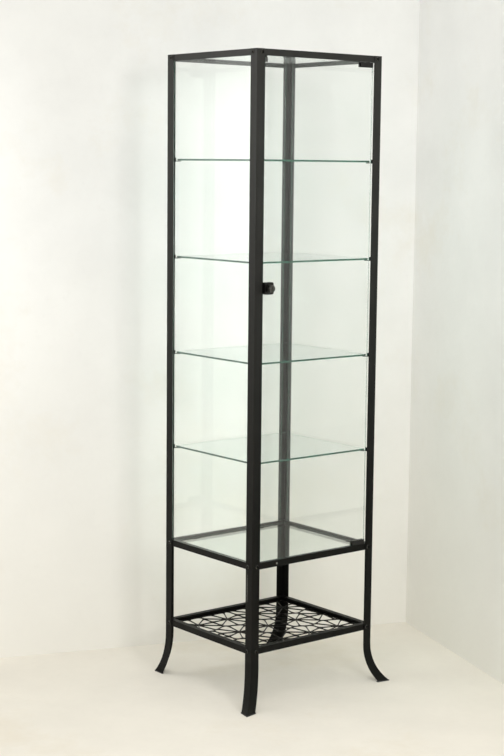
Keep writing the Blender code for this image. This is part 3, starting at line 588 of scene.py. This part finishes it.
def filled_plate(name, outlines, thickness):
    """The mesh of a flat plate from its outlines, with its middle at height 0."""
    curve = bpy.data.curves.new(name, "CURVE")
    curve.dimensions = "2D"
    curve.fill_mode = "BOTH"
    curve.extrude = thickness / 2
    for points in outlines:
        spline = curve.splines.new("POLY")
        spline.points.add(len(points) - 1)
        for target, point in zip(spline.points, points):
            target.co = (point.x, point.y, 0, 1)
        spline.use_cyclic_u = True
    flat = bpy.data.objects.new(name, curve)
    mesh = bpy.data.meshes.new_from_object(flat)
    bpy.data.objects.remove(flat)
    return mesh


def rounded_grille():
    """The grille again, with the corners of its petals rounded."""
    outlines, low, high = top_outlines(frame["nodes"]["grille"])
    border = max(outlines, key=lambda outline: max(point.x for point in outline))
    shown = [points if points is border else rounded_hole(points) for points in outlines]
    mesh = filled_plate("grille_outlines", shown, high - low)
    mesh.transform(Matrix.Translation((0, 0, (low + high) / 2)))
    stand_in("grille", mesh)


for name in sorted(frame["nodes"]):
    radius = edge_radius(name)
    if radius:
        rounded(name, radius)
rounded_grille()


# Camera
def camera_turn():
    """The camera's right, up and backward ways as the columns of a matrix."""
    forward = Vector((math.sin(CAMERA_YAW) * math.cos(CAMERA_PITCH),
                      math.cos(CAMERA_YAW) * math.cos(CAMERA_PITCH),
                      -math.sin(CAMERA_PITCH)))
    right = Vector((math.cos(CAMERA_YAW), -math.sin(CAMERA_YAW), 0))
    up = right.cross(forward)
    across = math.cos(CAMERA_ROLL) * right + math.sin(CAMERA_ROLL) * up
    upward = -math.sin(CAMERA_ROLL) * right + math.cos(CAMERA_ROLL) * up
    return Matrix((across, upward, -forward)).transposed()


lens = bpy.data.cameras.new("camera")
lens.lens = CAMERA_LENS
lens.sensor_width = SENSOR_WIDTH
lens.clip_start = CAMERA_NEAR
lens.clip_end = CAMERA_FAR
camera = in_scene("camera", lens)
camera.matrix_world = Matrix.Translation(CAMERA_PLACE) @ camera_turn().to_4x4()
bpy.context.scene.camera = camera


# Stage and light
def pale_plaster(name, colour, one_sided):
    """Pale painted plaster with faint blotches and warm stains. A wall turns warmer and darker towards the
    floor and is open from behind, so that the case can be seen from there."""
    mat = new_material(name)
    shader = node(mat, "ShaderNodeBsdfPrincipled")
    blotches = noise(mat, scale=3.5, detail=6, roughness=0.62)
    stains = noise(mat, scale=1.7, detail=7, roughness=0.7, offset=(3, 1, 2))
    specks = noise(mat, scale=45, detail=4, roughness=0.65)
    darker = tuple(BLOTCH_TONE_SHARE * part for part in colour)
    warm = tuple(share * part for share, part in zip(STAIN_TONE_SHARES, colour))

    tone = ramp(mat, blotches, BLOTCH_SPAN, (colour, darker))
    tone = mix_colour(mat, map_range(mat, stains, STAIN_SPAN, STAIN_COVER), tone, warm)
    tone = mix_colour(mat, map_range(mat, specks, SPECK_SPAN, SPECK_COVER), tone, darker)
    # The wall made warmer and darker towards the floor
    if one_sided:
        lower_darkening = map_range(mat, coordinates(mat)["Z"], (0, LOWER_DARKENING_HEIGHT), (LOWER_DARKENING_SHARE, 0))
        tone = mix_colour(mat, lower_darkening, tone, warm)
    rise = bump(mat, blotches, strength=0.15, distance=0.006)
    rise = bump(mat, specks, strength=0.2, distance=0.002, normal=rise)
    link(mat, tone, shader.inputs["Base Color"])
    link(mat, map_range(mat, specks, NOISE_SPAN, PLASTER_ROUGHNESS), shader.inputs["Roughness"])
    link(mat, rise, shader.inputs["Normal"])

    surface = shader.outputs["BSDF"]
    if one_sided:
        side = node(mat, "ShaderNodeNewGeometry")
        surface = clear_where(mat, side.outputs["Backfacing"], surface, WHITE)
    output(mat, surface)
    return mat


def stage_plane(name, corners, mat):
    mesh = bpy.data.meshes.new(name)
    mesh.from_pydata(corners, [], [(0, 1, 2, 3)])
    mesh.materials.append(mat)
    in_scene(name, mesh)


def stage_floor():
    half = FLOOR_SPAN / 2
    corners = [(-half, -half, 0), (half, -half, 0), (half, half, 0), (-half, half, 0)]
    stage_plane("floor", corners, pale_plaster("pale_floor", FLOOR_COLOUR, one_sided=False))


def stage_wall(name, along, mat):
    """A wall through the room's corner, both ways along; it faces to the left of that way."""
    rise = Vector((0, 0, WALL_HEIGHT))
    start, end = ROOM_CORNER - WALL_REACH * along, ROOM_CORNER + WALL_REACH * along
    stage_plane(name, [end, start, start + rise, end + rise], mat)


def soft_world():
    world = bpy.data.worlds.new("soft_world")
    bpy.context.scene.world = world
    world.use_nodes = True
    world.node_tree.nodes.clear()
    surface = node(world, "ShaderNodeOutputWorld")
    sky = node(world, "ShaderNodeBackground")
    sky.inputs["Color"].default_value = (*SKY_COLOUR, 1)
    sky.inputs["Strength"].default_value = SKY_STRENGTH
    link(world, sky.outputs["Background"], surface.inputs["Surface"])


def soft_lamp(name, place, aim, side, power, beam):
    """A square lamp that points at its aim; the beam is the whole angle that it lights."""
    data = bpy.data.lights.new(name, "AREA")
    data.size = side
    data.energy = power
    data.spread = math.radians(beam)
    lamp = in_scene(name, data)
    lamp.location = place
    lamp.rotation_mode = "QUATERNION"
    lamp.rotation_quaternion = (Vector(place) - Vector(aim)).to_track_quat("Z", "Y")


stage_floor()
across = Vector((math.cos(WALL_TURN), math.sin(WALL_TURN), 0))
away = Vector((-across.y, across.x, 0))
wall_paint = pale_plaster("pale_wall", WALL_COLOUR, one_sided=True)
stage_wall("rear_wall", -across, wall_paint)
stage_wall("side_wall", away, wall_paint)
soft_world()
for lamp_values in LAMPS:
    soft_lamp(*lamp_values)

bpy.context.scene.view_settings.view_transform = "Standard"
